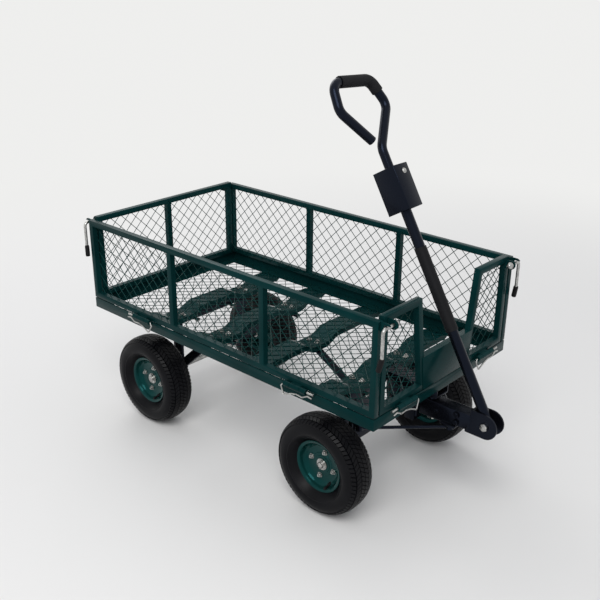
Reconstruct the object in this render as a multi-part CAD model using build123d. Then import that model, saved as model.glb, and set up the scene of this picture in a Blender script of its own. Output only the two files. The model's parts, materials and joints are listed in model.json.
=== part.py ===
"""Garden utility cart: steel mesh bed with fold-down sides, four pneumatic wheels,
knuckle steering with tie rods and a pull handle that leans back over the bed.

Millimetres. +X is forward (handle end), +Y is left, +Z is up. The parts are laid out
around the middle of the deck, on the floor, and moved at the end so that the origin is
the middle of the bottom of the overall box.
"""
from build123d import *
import math
import os

# ---------------------------------------------------------------- driving dimensions
# deck
deck_length = 1005.0
deck_width = 548.0
deck_bottom = 314.0
deck_angle_leg = 28.0
deck_angle_wall = 3.0
deck_mesh_thickness = 3.0
cross_member_width = 60.0
cross_member_wall = 3.0
cross_member_drop = 15.0
member_dip = 17.0
member_dip_half = 28.0
member_ramp = 36.0
member_joggle = 8.0
rear_member_x = 122.0
front_member_x = 88.0
cross_member_axle_offset = 9.0
flange_overlap = 24.0

# side, rear and front panels
panel_top = 580.0
side_panel_drop = 7.0
panel_tube = 15.0
panel_gap = 3.0
corner_gap = 2.0
post_spacing = 328.0
panel_mesh_thickness = 3.0
panel_mesh_overlap = 8.0
mesh_pitch = 84.0
mesh_strip = 4.5
mesh_border = 8.0
notch_half_top = 118.0
notch_half_bottom = 84.0
lip_height = 430.0
front_sheet_wall = 2.0
lip_depth = 16.0

# panel hinges
hinge_spacing_side = 562.0
hinge_spacing_end = 330.0
hinge_offset = 8.0
knuckle_radius = 7.0
knuckle_bore_clearance = 0.4
deck_knuckle_length = 18.0
panel_knuckle_length = 30.0
knuckle_gap = 1.0
hinge_pin_radius = 3.0
hinge_pin_tail = 22.0
clip_wire_radius = 1.9
clip_drop = 28.0

# corner latches
latch_drop = 18.0
latch_reach = 15.0
ear_radius = 11.0
ear_wall = 3.0
end_ear_inset = 34.0
side_ear_inset = 8.0
latch_rod_radius = 4.0
latch_hole_clearance = 0.4
latch_slot_clearance = 1.5
latch_rod_tail = 3.0
latch_dome_radius = 7.0
latch_handle_length = 68.0
latch_grip_length = 24.0
latch_grip_radius = 5.5

# wheels and axles
tyre_radius = 128.0
tyre_half_width = 42.0
rim_radius = 68.0
rim_bead_depth = 8.0
rim_half_width = 20.5
rim_wall = 3.0
dish_radius = 47.0
disc_face = 5.0
disc_wall = 4.0
hub_radius = 17.0
hub_outer = 7.0
hub_inner = 31.0
collar_radius = 12.0
collar_length = 4.0
axle_radius = 8.0
axle_clearance = 0.05
wheel_track_half = 221.0
wheelbase_half = 321.0
axle_end_reach = 9.0
hub_gap = 0.3

# axle frames
crossbar_size = 28.0
crossbar_half_length = 142.0
leg_y = 127.0
leg_depth = 30.0
leg_thickness = 12.0
strut_depth = 24.0
strut_top_setback = 28.0
strut_pad_length = 80.0
strut_pad_thickness = 8.0
axle_boss_radius = 15.0
axle_boss_length = 36.0

# front beam, knuckles and steering
beam_size = 35.0
beam_bottom = 152.0
beam_leg_y = 91.0
beam_leg_width = 60.0
beam_leg_wall = 5.0
kingpin_y = 152.0
yoke_wall = 5.0
yoke_width = 30.0
yoke_bottom = 97.0
yoke_top = 228.0
yoke_web_gap = 16.0
knuckle_tube_radius = 14.0
knuckle_tube_gap = 1.0
kingpin_radius = 7.0
running_fit = 0.05
arm_reach = 60.0
arm_offset = 14.0
arm_width = 18.0
arm_thickness = 6.0
arm_gap = 4.0
brace_width = 20.0
brace_thickness = 8.0
brace_setback = 13.0
brace_foot_length = 36.0

# tongue and tie rods
kingbolt_setback = 27.5
tongue_top = 278.0
tongue_width = 38.0
tongue_height = 40.0
tongue_wall = 4.0
tongue_tail = 25.0
kingbolt_radius = 8.0
support_width = 50.0
support_height = 24.0
support_wall = 4.0
tie_plate_width = 56.0
tie_plate_length = 40.0
tie_plate_thickness = 6.0
tie_rod_radius = 4.0
tie_eye_radius = 10.0
tie_eye_height = 10.0
tie_bolt_radius = 4.0
tie_gap = 1.0

# clevis and handle
handle_reach = 125.5
handle_pivot_z = 264.0
handle_lean = 30.0
clevis_ear_radius = 32.0
clevis_ear_wall = 4.0
clevis_web_top = 294.0
clevis_web_height = 62.0
clevis_web_wall = 6.0
ear_side_gap = 1.5
handle_bolt_radius = 6.0
shaft_radius = 12.5
shaft_heel = 14.0
shaft_rest_gap = 0.4
sleeve_start = 232.0
sleeve_end = 438.0
sleeve_wall = 2.0
hitch_box_start = 528.0
hitch_box_length = 104.0
hitch_box_width = 52.0
hitch_box_depth = 64.0
hitch_box_wall = 3.0
hitch_plate_inset = 8.0
seat_gap = 0.3
shaft_end = 604.0
loop_tube_radius = 11.0
loop_neck = 682.0
loop_right = (76.0, 778.0)
loop_top_right = (48.0, 842.0)
loop_top_left = (-82.0, 850.0)
loop_left = (-93.0, 782.0)
loop_tip = 702.0
loop_bend = 30.0
grip_wall = 3.0
grip_start = 24.0
grip_end = 34.0

# ---------------------------------------------------------------- derived positions
deck_top = deck_bottom + deck_angle_leg
flange_top = deck_bottom + deck_angle_wall
panel_bottom = deck_top + panel_gap
half_length = deck_length / 2
half_width = deck_width / 2
side_panel_top = panel_top - side_panel_drop
end_panel_half_width = half_width - panel_tube - panel_mesh_thickness - corner_gap
hinge_height = deck_top + panel_gap / 2
axle_height = tyre_radius
bead_radius = rim_radius - rim_bead_depth
axle_reach = wheel_track_half + hub_outer + axle_end_reach
end_ear_y = half_width - end_ear_inset
latch_height = panel_top - latch_drop
cross_member_outer_x = wheelbase_half - cross_member_axle_offset
tongue_pivot_x = half_length - kingbolt_setback
handle_pivot_x = half_length + handle_reach
latch_x = half_length + latch_reach
beam_top = beam_bottom + beam_size
member_dip_top = flange_top - member_dip
member_seat = member_dip_top - cross_member_wall
crossbar_bottom = member_seat - crossbar_size
member_lip_bottom = member_dip_top - cross_member_drop
strut_top_x = -rear_member_x - strut_top_setback
brace_top_x = front_member_x - brace_setback
tongue_bottom = tongue_top - tongue_height
tie_plate_bottom = tongue_bottom - tie_plate_thickness
arm_bottom = yoke_top + arm_gap
tie_eye_top = min(tie_plate_bottom, arm_bottom) - tie_gap
support_bottom = deck_bottom - support_height
clevis_web_front = handle_pivot_x - (
    shaft_radius + shaft_rest_gap + (clevis_web_top - handle_pivot_z) * math.sin(math.radians(handle_lean))
) / math.cos(math.radians(handle_lean))
clevis_ear_inner = shaft_radius + ear_side_gap


# ---------------------------------------------------------------- small helpers
def box_between(x0, x1, y0, y1, z0, z1):
    """Box from two opposite corners."""
    centre = Pos((x0 + x1) / 2, (y0 + y1) / 2, (z0 + z1) / 2)
    return centre * Box(abs(x1 - x0), abs(y1 - y0), abs(z1 - z0))


def rod(start, end, radius):
    """Round bar from one point to another."""
    a = Vector(*start)
    b = Vector(*end)
    plane = Plane(origin=(a + b) / 2, z_dir=b - a)
    return plane * Cylinder(radius, (b - a).length)


def flat_bar(start, end, depth, y0, y1):
    """Flat bar in an XZ plane, between two points given as (x, z)."""
    a = Vector(start[0], 0, start[1])
    b = Vector(end[0], 0, end[1])
    plane = Plane(origin=(a + b) / 2 + Vector(0, (y0 + y1) / 2, 0), x_dir=(0, 1, 0), z_dir=b - a)
    return plane * Box(abs(y1 - y0), depth, (b - a).length)


def mirrored(shape):
    """The same piece on the other side of the cart."""
    return mirror(shape, about=Plane.XZ)


def fuse_all(shapes):
    """One shape from a list that touches or overlaps."""
    result = shapes[0]
    for shape in shapes[1:]:
        result = result + shape
    return result


def along_handle(distance, across=0.0, side=0.0):
    """Point on the leaning handle: distance from the pivot, across towards the front, side towards +Y."""
    lean = math.radians(handle_lean)
    x = handle_pivot_x - distance * math.sin(lean) + across * math.cos(lean)
    z = handle_pivot_z + distance * math.cos(lean) + across * math.sin(lean)
    return (x, side, z)


def handle_plane(distance):
    """Plane square to the handle, its Z along the handle and its X towards the front."""
    lean = math.radians(handle_lean)
    return Plane(
        origin=along_handle(distance),
        x_dir=(math.cos(lean), 0, math.sin(lean)),
        z_dir=(-math.sin(lean), 0, math.cos(lean)),
    )


# ---------------------------------------------------------------- mesh
def clipped(polygon, border):
    """The part of a convex polygon that lies inside a convex counter-clockwise border."""
    for (ax, ay), (bx, by) in zip(border, border[1:] + border[:1]):
        kept = []
        for (px, py), (qx, qy) in zip(polygon, polygon[1:] + polygon[:1]):
            p_in = (bx - ax) * (py - ay) - (by - ay) * (px - ax)
            q_in = (bx - ax) * (qy - ay) - (by - ay) * (qx - ax)
            if p_in >= 0:
                kept.append((px, py))
            if p_in * q_in < 0:
                share = p_in / (p_in - q_in)
                kept.append((px + share * (qx - px), py + share * (qy - py)))
        polygon = kept
    return polygon


def polygon_area(points):
    """Area of a polygon."""
    return abs(sum(ax * by - bx * ay for (ax, ay), (bx, by) in zip(points, points[1:] + points[:1]))) / 2


def mesh_sheet(plane, outer, inner, thickness):
    """Sheet with diamond openings inside the inner outline, standing on a plane."""
    half = mesh_pitch / 2
    reach = half - mesh_strip / math.sqrt(2)
    across = [u for u, v in inner]
    up = [v for u, v in inner]
    middle = ((min(across) + max(across)) / 2, (min(up) + max(up)) / 2)
    columns = math.ceil((max(across) - min(across)) / mesh_pitch) + 1
    rows = math.ceil((max(up) - min(up)) / mesh_pitch) + 1
    holes = []
    for i in range(-columns, columns + 1):
        for j in range(-rows, rows + 1):
            if (i + j) % 2:
                continue
            u = middle[0] + i * half
            v = middle[1] + j * half
            hole = clipped([(u + reach, v), (u, v + reach), (u - reach, v), (u, v - reach)], inner)
            if len(hole) > 2 and polygon_area(hole) > mesh_border ** 2:
                holes.append(hole)
    wires = [Wire.make_polygon([plane.from_local_coords((u, v, 0)) for u, v in hole]) for hole in holes]
    edge = Wire.make_polygon([plane.from_local_coords((u, v, 0)) for u, v in outer])
    return extrude(Face(edge, wires), amount=thickness, dir=plane.z_dir)


def rectangle(u0, u1, v0, v1):
    """Counter-clockwise corners of a rectangle."""
    return [(u0, v0), (u1, v0), (u1, v1), (u0, v1)]


def mesh_rectangle(plane, u0, u1, v0, v1, thickness):
    """Rectangular mesh sheet with a plain border."""
    b = mesh_border
    return mesh_sheet(plane, rectangle(u0, u1, v0, v1), rectangle(u0 + b, u1 - b, v0 + b, v1 - b), thickness)


# ---------------------------------------------------------------- deck
def hinge_places():
    """(centre x, centre y, turn about Z) of each of the eight hinges; turn 0 faces -Y."""
    side = half_width + hinge_offset
    end = half_length + hinge_offset
    return {
        "right": [(-hinge_spacing_side / 2, -side, 0), (hinge_spacing_side / 2, -side, 0)],
        "front": [(end, -hinge_spacing_end / 2, 90), (end, hinge_spacing_end / 2, 90)],
        "left": [(hinge_spacing_side / 2, side, 180), (-hinge_spacing_side / 2, side, 180)],
        "rear": [(-end, hinge_spacing_end / 2, 270), (-end, -hinge_spacing_end / 2, 270)],
    }


def knuckle(length, offset, web_up):
    """Hinge knuckle along local X at local offset, with its weld web up to a panel or down to the deck."""
    tube = Pos(offset, 0, 0) * Rot(0, 90, 0) * Cylinder(knuckle_radius, length)
    direction = 1 if web_up else -1
    web_start = direction * (panel_gap / 2 + 0.5)
    web = box_between(
        offset - length / 2, offset + length / 2, 0, hinge_offset, web_start, direction * knuckle_radius
    )
    bore = Pos(offset, 0, 0) * Rot(0, 90, 0) * Cylinder(hinge_pin_radius + knuckle_bore_clearance, length)
    return tube + web - bore


def deck_knuckles(place):
    """The two outer knuckles of one hinge, on the deck."""
    x, y, turn = place
    reach = panel_knuckle_length / 2 + knuckle_gap + deck_knuckle_length / 2
    pair = [knuckle(deck_knuckle_length, sign * reach, False) for sign in (-1, 1)]
    return [Pos(x, y, hinge_height) * Rot(0, 0, turn) * one for one in pair]


def panel_knuckle(place):
    """The middle knuckle of one hinge, on the panel."""
    x, y, turn = place
    return Pos(x, y, hinge_height) * Rot(0, 0, turn) * knuckle(panel_knuckle_length, 0, True)


def deck_frame():
    """Angle-steel perimeter, flange inwards at the bottom, with the hinge knuckles."""
    outer = box_between(-half_length, half_length, -half_width, half_width, deck_bottom, deck_top)
    wall = deck_angle_wall
    well = box_between(
        -half_length + wall, half_length - wall, -half_width + wall, half_width - wall, flange_top, deck_top
    )
    leg = deck_angle_leg
    opening = box_between(
        -half_length + leg, half_length - leg, -half_width + leg, half_width - leg, deck_bottom, deck_top
    )
    frame = outer - well - opening
    for places in hinge_places().values():
        for place in places:
            for one in deck_knuckles(place):
                frame = frame + one
    return frame


def deck_mesh():
    """Mesh floor lying on the frame's bottom flange."""
    margin = deck_angle_wall + corner_gap
    x = half_length - margin
    y = half_width - margin
    return mesh_rectangle(Plane.XY.offset(flange_top), -x, x, -y, y, deck_mesh_thickness)


def member_line(dips):
    """Top line of a cross member as (y, z) points: level with the mesh, dipped at the bolts, low at the ends."""
    inner = half_width - deck_angle_leg - corner_gap
    end = inner + flange_overlap
    line = [(-end, deck_bottom), (-inner, deck_bottom), (member_joggle - inner, flange_top)]
    for dip in dips:
        for side in (-1, 1):
            ramp = [(dip + side * (member_dip_half + member_ramp), flange_top)]
            ramp.append((dip + side * member_dip_half, member_dip_top))
            line += ramp if side < 0 else ramp[::-1]
    return line + [(inner - member_joggle, flange_top), (inner, deck_bottom), (end, deck_bottom)]


def member_band(line, depth, x0, x1):
    """Band of a depth below a member's top line, from x0 to x1."""
    outline = line + [(y, z - depth) for y, z in line[::-1]]
    return extrude(Plane.YZ.offset(x0) * make_face(Polyline(*outline, close=True)), amount=x1 - x0)


def cross_member(x, dips):
    """Pressed channel under the mesh: waved plate, joggled ends below the flange and two lips."""
    line = member_line(dips)
    half = cross_member_width / 2
    wall = cross_member_wall
    plate = member_band(line, wall, x - half, x + half)
    near = member_band(line, cross_member_drop, x - half, x - half + wall)
    far = member_band(line, cross_member_drop, x + half - wall, x + half)
    return plate + near + far


def cross_members():
    """The four members that carry the mesh, each dipped where its bolts are."""
    places = (
        (-cross_member_outer_x, (-leg_y, leg_y)), (-rear_member_x, (-leg_y, leg_y)),
        (front_member_x, (0,)), (cross_member_outer_x, (-beam_leg_y, beam_leg_y)),
    )
    return [cross_member(x, dips) for x, dips in places]


# ---------------------------------------------------------------- panels
def side_ear(x_sign):
    """Hook over the latch rod at one end of the right side panel, open outwards and below."""
    y0 = -half_width + side_ear_inset
    y1 = y0 + ear_wall
    tab = box_between(
        x_sign * (half_length - panel_tube / 2), x_sign * latch_x, y0, y1,
        latch_height - ear_radius, latch_height + ear_radius,
    )
    disc = Pos(x_sign * latch_x, (y0 + y1) / 2, latch_height) * Rot(90, 0, 0) * Cylinder(ear_radius, ear_wall)
    reach = latch_rod_radius + latch_slot_clearance
    slot = box_between(
        x_sign * (latch_x - reach), x_sign * (latch_x + 2 * ear_radius), y0, y1,
        latch_height - 2 * ear_radius, latch_height + reach,
    )
    return tab + disc - slot


def end_ear(y_sign, x_sign):
    """Latch ear standing on the outer face of the front or rear panel."""
    y0 = y_sign * end_ear_y - ear_wall / 2
    tab = box_between(
        x_sign * half_length, x_sign * latch_x, y0, y0 + ear_wall,
        latch_height - ear_radius, latch_height + ear_radius,
    )
    disc = Pos(x_sign * latch_x, y0 + ear_wall / 2, latch_height) * Rot(90, 0, 0) * Cylinder(ear_radius, ear_wall)
    hole = Pos(x_sign * latch_x, y0 + ear_wall / 2, latch_height) * Rot(90, 0, 0) * Cylinder(
        latch_rod_radius + latch_hole_clearance, 4 * ear_wall
    )
    return tab + disc - hole


def right_panel_frame():
    """Right side panel: rails, four posts, two hinge knuckles and two latch ears."""
    x = half_length
    t = panel_tube
    y0 = -half_width
    y1 = y0 + t
    pieces = [
        box_between(-x, x, y0, y1, panel_bottom, panel_bottom + t),
        box_between(-x, x, y0, y1, side_panel_top - t, side_panel_top),
    ]
    centres = (-x + t / 2, -post_spacing / 2, post_spacing / 2, x - t / 2)
    for centre in centres:
        pieces.append(box_between(centre - t / 2, centre + t / 2, y0, y1, panel_bottom, side_panel_top))
    for place in hinge_places()["right"]:
        pieces.append(panel_knuckle(place))
    for x_sign in (-1, 1):
        pieces.append(side_ear(x_sign))
    return fuse_all(pieces)


def right_panel_mesh():
    """Mesh on the inner face of the right side panel."""
    margin = panel_tube - panel_mesh_overlap
    x = half_length - margin
    inner_face = Plane(origin=(0, -half_width + panel_tube, 0), x_dir=(-1, 0, 0), z_dir=(0, 1, 0))
    return mesh_rectangle(inner_face, -x, x, panel_bottom + margin, side_panel_top - margin, panel_mesh_thickness)


def rear_panel_frame():
    """Rear panel: rails, three posts, two hinge knuckles and two latch ears."""
    y = end_panel_half_width
    t = panel_tube
    x0 = -half_length
    x1 = x0 + t
    pieces = [
        box_between(x0, x1, -y, y, panel_bottom, panel_bottom + t),
        box_between(x0, x1, -y, y, panel_top - t, panel_top),
    ]
    for centre in (-y + t / 2, 0, y - t / 2):
        pieces.append(box_between(x0, x1, centre - t / 2, centre + t / 2, panel_bottom, panel_top))
    for place in hinge_places()["rear"]:
        pieces.append(panel_knuckle(place))
    for y_sign in (-1, 1):
        pieces.append(end_ear(y_sign, -1))
    return fuse_all(pieces)


def rear_panel_mesh():
    """Mesh on the inner face of the rear panel, between the side panels."""
    margin = panel_tube - panel_mesh_overlap
    y = end_panel_half_width - margin
    inner_face = Plane.YZ.offset(-half_length + panel_tube)
    return mesh_rectangle(inner_face, -y, y, panel_bottom + margin, panel_top - margin, panel_mesh_thickness)


def notch_half_width(z):
    """Half the width of the front notch at a height."""
    share = (z - panel_bottom) / (panel_top - panel_bottom)
    return notch_half_bottom + share * (notch_half_top - notch_half_bottom)


def notch_face(inset_side, z0, z1, plane_x):
    """Trapezium that follows the notch, narrowed by an inset on each side."""
    a = notch_half_width(z0) + inset_side
    b = notch_half_width(z1) + inset_side
    points = [(-a, z0), (a, z0), (b, z1), (-b, z1)]
    return Plane.YZ.offset(plane_x) * make_face(Polyline(*points, close=True))


def front_panel_frame():
    """Front panel: two meshed sections either side of a notch for the handle."""
    y = end_panel_half_width
    t = panel_tube
    x1 = half_length
    x0 = x1 - t
    plate = box_between(x0, x1, -y, y, panel_bottom, panel_top)
    notch = extrude(notch_face(0, panel_bottom, panel_top, x0), amount=t)
    notch = notch & box_between(x0, x1, -y, y, panel_bottom + t, panel_top)
    window = box_between(x0, x1, t - y, y - t, panel_bottom + t, panel_top - t)
    window = window - extrude(notch_face(t, panel_bottom, panel_top, x0), amount=t)
    frame = plate - notch - window
    for place in hinge_places()["front"]:
        frame = frame + panel_knuckle(place)
    for y_sign in (-1, 1):
        frame = frame + end_ear(y_sign, 1)
    return frame


def front_panel_mesh():
    """The two mesh pieces of the front panel, cut along the notch."""
    margin = panel_tube - panel_mesh_overlap
    low = panel_bottom + margin
    high = panel_top - margin
    y = end_panel_half_width - margin
    b = mesh_border
    outer = [(notch_half_width(low) + margin, low), (y, low), (y, high), (notch_half_width(high) + margin, high)]
    inner = [
        (notch_half_width(low + b) + margin + b, low + b), (y - b, low + b), (y - b, high - b),
        (notch_half_width(high - b) + margin + b, high - b),
    ]
    face = Plane.YZ.offset(half_length - panel_tube - panel_mesh_thickness)
    left = mesh_sheet(face, outer, inner, panel_mesh_thickness)
    return [left, mirrored(left)]


def front_panel_sheet():
    """Plain sheet that closes the lower part of the notch, with its top lip turned back."""
    x0 = half_length
    bottom = panel_bottom
    sheet = extrude(notch_face(panel_tube / 2, bottom, lip_height, x0), amount=front_sheet_wall)
    half = notch_half_width(lip_height - front_sheet_wall) - 0.3
    lip = box_between(
        x0 - lip_depth, x0 + front_sheet_wall, -half, half, lip_height - front_sheet_wall, lip_height
    )
    return sheet + lip


def hinge_pin(place, outward):
    """Wire lock pin of one hinge: the pin, its hooked end and the sprung leg that snaps on to its tip."""
    x, y, turn = place
    end = panel_knuckle_length / 2 + knuckle_gap + deck_knuckle_length
    out = -knuckle_radius + clip_wire_radius
    pin = rod((-outward * (end + 2), 0, 0), (outward * (end + hinge_pin_tail), 0, 0), hinge_pin_radius)
    line = [
        (-end - 1, 0, 0), (-end - 9, out / 2, -8), (-end + 2, out, -clip_drop), (-9, out, -clip_drop * 0.6),
        (8, out, -clip_drop * 0.45), (end - 8, out, -clip_drop * 0.5), (end + 8, out, -5),
        (end + hinge_pin_tail - 3, out, -7),
    ]
    path = FilletPolyline(*[(outward * along, side, up) for along, side, up in line], radius=3)
    leg = sweep(Plane(path @ 0, z_dir=path % 0) * Circle(clip_wire_radius), path=path)
    pieces = pin + leg + Pos(*(path @ 1)) * Sphere(clip_wire_radius)
    return Pos(x, y, hinge_height) * Rot(0, 0, turn) * pieces


def latch_rod(x_sign):
    """Latch at one right-hand corner: domed rod, bent handle and dipped tip."""
    w = latch_rod_radius
    outer_y = -half_width - latch_rod_tail
    inner_y = -end_ear_y + ear_wall / 2 + latch_dome_radius
    dome = Pos(x_sign * latch_x, inner_y, latch_height) * Sphere(latch_dome_radius)
    path = FilletPolyline(
        (x_sign * latch_x, inner_y, latch_height), (x_sign * latch_x, outer_y, latch_height),
        (x_sign * latch_x, outer_y, latch_height - latch_handle_length),
        (x_sign * (latch_x - 4), outer_y - 3, latch_height - latch_handle_length - latch_grip_length),
        radius=10,
    )
    wire = sweep(Plane(path @ 0, z_dir=path % 0) * Circle(w), path=path)
    grip = rod(
        (x_sign * (latch_x - 1), outer_y, latch_height - latch_handle_length - 3),
        (x_sign * (latch_x - 5), outer_y - 3, latch_height - latch_handle_length - latch_grip_length - 3),
        latch_grip_radius,
    )
    return dome + wire + grip


# ---------------------------------------------------------------- rear axle
def rear_axle_frame():
    """Crossbar under the rear cross member, two legs, two diagonal struts and the axle bosses."""
    x = -wheelbase_half
    half = crossbar_size / 2
    pieces = [
        box_between(x - half, x + half, -crossbar_half_length, crossbar_half_length, crossbar_bottom, member_seat)
    ]
    for side in (-1, 1):
        y0 = side * leg_y - leg_thickness / 2
        y1 = y0 + leg_thickness
        pieces.append(flat_bar((x, axle_height), (x, crossbar_bottom + half), leg_depth, y0, y1))
        strut = flat_bar((x, axle_height), (strut_top_x, member_lip_bottom), strut_depth, y0, y1)
        above = box_between(x, 0, y0, y1, member_lip_bottom, deck_top)
        pieces.append(strut - above)
        pad_front = strut_top_x - strut_depth / 2 + strut_pad_length
        pieces.append(
            box_between(
                strut_top_x - strut_depth / 2, pad_front, y0, y1,
                member_lip_bottom - strut_pad_thickness, member_lip_bottom,
            )
        )
        pieces.append(Pos(x, side * leg_y, axle_height) * Rot(90, 0, 0) * Cylinder(axle_boss_radius, axle_boss_length))
    frame = fuse_all(pieces)
    frame = frame - box_between(x, 0, -half_width, half_width, member_seat, deck_top)
    bore = Pos(x, 0, axle_height) * Rot(90, 0, 0) * Cylinder(axle_radius + axle_clearance, deck_width)
    return frame - bore


def wheel_seats(x):
    """Inner collar and outer washer that keep the left wheel at x in place on its axle."""
    inner = wheel_track_half - hub_inner - hub_gap
    outer = wheel_track_half + hub_outer + hub_gap
    collar = rod((x, inner - collar_length, axle_height), (x, inner, axle_height), collar_radius)
    washer = rod((x, outer, axle_height), (x, outer + collar_length / 2, axle_height), collar_radius)
    return collar + washer


def rear_axle():
    """Round axle through both bosses and both rear wheels, with its collars and washers."""
    x = -wheelbase_half
    bar = rod((x, -axle_reach, axle_height), (x, axle_reach, axle_height), axle_radius)
    return bar + wheel_seats(x) + mirrored(wheel_seats(x))


# ---------------------------------------------------------------- front axle
def yoke(side):
    """Open yoke at one end of the front beam, round the knuckle."""
    x = wheelbase_half
    web_y = kingpin_y - yoke_web_gap - yoke_wall
    end_y = kingpin_y + knuckle_tube_radius
    half = yoke_width / 2
    body = box_between(x - half, x + half, web_y, end_y, yoke_bottom, yoke_top)
    inside = box_between(
        x - half, x + half, web_y + yoke_wall, end_y, yoke_bottom + yoke_wall, yoke_top - yoke_wall
    )
    hole = Pos(x, kingpin_y, (yoke_bottom + yoke_top) / 2) * Cylinder(
        kingpin_radius + running_fit, yoke_top - yoke_bottom
    )
    part = body - inside - hole
    return part if side > 0 else mirrored(part)


def front_axle_beam():
    """Fixed beam with a yoke at each end, two channel legs and the crossbar under the deck."""
    x = wheelbase_half
    half = beam_size / 2
    bar = crossbar_size / 2
    web_y = kingpin_y - yoke_web_gap - yoke_wall
    pieces = [
        box_between(x - half, x + half, -web_y, web_y, beam_bottom, beam_top),
        box_between(x - bar, x + bar, -crossbar_half_length, crossbar_half_length, crossbar_bottom, member_seat),
    ]
    for side in (-1, 1):
        pieces.append(yoke(side))
        y0 = side * beam_leg_y - beam_leg_width / 2
        y1 = y0 + beam_leg_width
        outer = box_between(x - bar, x + bar, y0, y1, beam_top, crossbar_bottom)
        hollow = box_between(
            x - bar, x + bar - beam_leg_wall, y0 + beam_leg_wall, y1 - beam_leg_wall, beam_top, crossbar_bottom
        )
        pieces.append(outer - hollow)
    return fuse_all(pieces)


def front_axle_brace():
    """Diagonal bar from the beam's middle up to the cross member behind it."""
    start = (wheelbase_half - beam_size / 2, beam_bottom + beam_size / 2)
    end = (brace_top_x, member_seat)
    bar = flat_bar(start, end, brace_thickness, -brace_width / 2, brace_width / 2)
    clip_beam = box_between(start[0], half_length, -half_width, half_width, 0, deck_bottom)
    clip_deck = box_between(-half_length, half_length, -half_width, half_width, member_seat, deck_top)
    foot_rear = front_member_x - cross_member_width / 2 + cross_member_wall + corner_gap
    foot = box_between(
        foot_rear, foot_rear + brace_foot_length, -brace_width / 2, brace_width / 2,
        member_seat - brace_thickness, member_seat,
    )
    toe = box_between(
        start[0] - brace_thickness, start[0], -brace_width / 2, brace_width / 2, beam_bottom, beam_top
    )
    return bar - clip_beam - clip_deck + foot + toe


def steering_support():
    """Channel under the front of the deck that carries the tongue's kingbolt."""
    x0 = cross_member_outer_x + cross_member_width / 2
    x1 = half_length - deck_angle_wall
    half = support_width / 2
    outer = box_between(x0, x1, -half, half, support_bottom, deck_bottom)
    hollow = box_between(
        x0, x1, -half + support_wall, half - support_wall, support_bottom + support_wall, deck_bottom - support_wall
    )
    spacer = Pos(tongue_pivot_x, 0, (tongue_top + support_bottom) / 2) * Cylinder(
        2 * kingbolt_radius, support_bottom - tongue_top - 2 * running_fit
    )
    spacer = Pos(0, 0, running_fit) * spacer
    hole = Pos(tongue_pivot_x, 0, deck_bottom - support_height) * Cylinder(
        kingbolt_radius + running_fit, 4 * support_height
    )
    return outer - hollow + spacer - hole


def kingbolt():
    """Vertical bolt on which the tongue turns, with its head below."""
    top = deck_bottom - support_wall + 2
    head_top = tie_plate_bottom - 0.5
    shank = rod((tongue_pivot_x, 0, head_top - 1), (tongue_pivot_x, 0, top), kingbolt_radius)
    head = Pos(tongue_pivot_x, 0, head_top) * extrude(RegularPolygon(kingbolt_radius * 1.7, 6), amount=-8)
    return shank + head


def tongue():
    """Drawbar channel on the kingbolt, with the tie rod plate below and a closed front end."""
    x0 = tongue_pivot_x - tongue_tail
    x1 = clevis_web_front - clevis_web_wall
    half = tongue_width / 2
    wall = tongue_wall
    outer = box_between(x0, x1, -half, half, tongue_bottom, tongue_top)
    hollow = box_between(x0, x1 - wall, -half + wall, half - wall, tongue_bottom, tongue_top - wall)
    channel = outer - hollow
    front = box_between(x1 - 3 * tongue_wall, x1, -half, half, clevis_web_top - clevis_web_height, tongue_top)
    plate_middle = tongue_pivot_x + arm_reach
    plate = box_between(
        x0, plate_middle + tie_plate_length / 2, -half, half, tie_plate_bottom, tongue_bottom
    )
    plate = plate + box_between(
        plate_middle - tie_plate_length / 2, plate_middle + tie_plate_length / 2,
        -tie_plate_width / 2, tie_plate_width / 2, tie_plate_bottom, tongue_bottom,
    )
    hole = Pos(tongue_pivot_x, 0, tongue_bottom) * Cylinder(kingbolt_radius + running_fit, 4 * tongue_height)
    bolts = None
    for side in (-1, 1):
        bolt = rod(
            (plate_middle, side * arm_offset, tie_eye_top - tie_eye_height - tie_gap),
            (plate_middle, side * arm_offset, tie_plate_bottom + 1), tie_bolt_radius,
        )
        bolts = bolt if bolts is None else bolts + bolt
    return channel + front + plate - hole + bolts


def knuckle_part(side):
    """Knuckle: tube on the kingpin, stub axle for the wheel and the steering arm on top."""
    x = wheelbase_half
    low = yoke_bottom + yoke_wall + knuckle_tube_gap
    high = yoke_top - yoke_wall - knuckle_tube_gap
    tube = rod((x, kingpin_y, low), (x, kingpin_y, high), knuckle_tube_radius)
    pin = rod((x, kingpin_y, yoke_bottom - 6), (x, kingpin_y, arm_bottom + arm_thickness), kingpin_radius)
    stub = rod((x, kingpin_y, axle_height), (x, axle_reach, axle_height), axle_radius) + wheel_seats(x)
    tip = (x + arm_reach, kingpin_y + arm_offset)
    arm_length = math.hypot(arm_reach, arm_offset)
    arm_turn = math.degrees(math.atan2(arm_offset, arm_reach))
    middle = ((x + tip[0]) / 2, (kingpin_y + tip[1]) / 2, arm_bottom + arm_thickness / 2)
    arm = Pos(*middle) * Rot(0, 0, arm_turn) * Box(arm_length, arm_width, arm_thickness)
    for centre in ((x, kingpin_y), tip):
        arm = arm + Pos(centre[0], centre[1], middle[2]) * Cylinder(arm_width / 2, arm_thickness)
    bolt = rod((*tip, tie_eye_top - tie_eye_height - tie_gap), (*tip, arm_bottom + 1), tie_bolt_radius)
    part = tube + pin + stub + arm + bolt
    return part if side > 0 else mirrored(part)


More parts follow.
